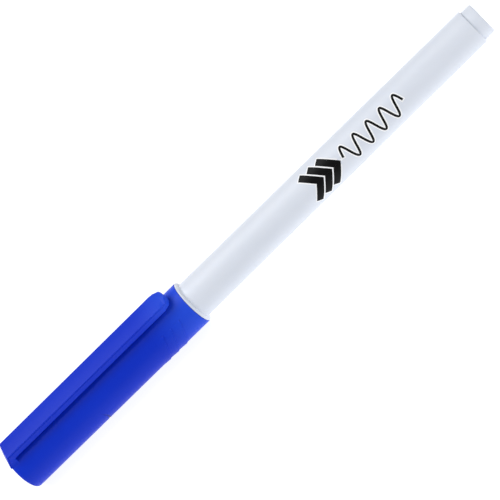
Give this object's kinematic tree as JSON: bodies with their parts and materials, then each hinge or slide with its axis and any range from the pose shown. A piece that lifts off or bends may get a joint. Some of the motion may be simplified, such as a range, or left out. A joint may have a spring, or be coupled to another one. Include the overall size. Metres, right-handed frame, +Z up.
{
  "type": "whiteboard marker",
  "caption": "Slim capped whiteboard marker: white tapered barrel, blue pull-off cap with a long flat clip and thumb ribs, fibre nib inside, stepped rear plug.",
  "frame": {"origin": "under the middle of the marker's length and width, level with the cap's lowest line", "axes": "+X along the marker from the cap's closed end to the rear end, +Z up through the clip, +Y across"},
  "size_m": [0.14, 0.0112, 0.0136],
  "materials": {
    "blue_polypropylene": "satin",
    "white_polypropylene": "satin",
    "natural_polyethylene": "satin",
    "inked_felt": "matte",
    "inked_fibre": "matte",
    "reservoir_film": "gloss",
    "black_print": "satin"
  },
  "bodies": {
    "pen": {"barrel": "white_polypropylene", "front_section": "white_polypropylene", "nib": "inked_felt", "ink_reservoir": "inked_fibre", "reservoir_wrap": "reservoir_film", "rear_plug": "white_polypropylene"},
    "cap_liner": {"inner_cap": "natural_polyethylene"},
    "cap_shell": {"cap": "blue_polypropylene"},
    "clip_tongue": {"clip": "blue_polypropylene"}
  },
  "joints": [
    {"name": "cap_pull", "type": "slide", "parent": "pen", "child": "cap_liner", "axis": [-1, 0, 0], "range_m": [0, 0.045]},
    {"name": "cap_turn", "type": "hinge", "parent": "cap_liner", "child": "cap_shell", "pos_m": [-0.03, 0, 0.0055], "axis": [1, 0, 0], "continuous": true},
    {"name": "clip_flex", "type": "hinge", "parent": "cap_shell", "child": "clip_tongue", "pos_m": [-0.066, 0, 0.01263], "axis": [0, -1, 0], "range_deg": [0, 4], "stiffness_Nm_per_rad": 0.25}
  ]
}
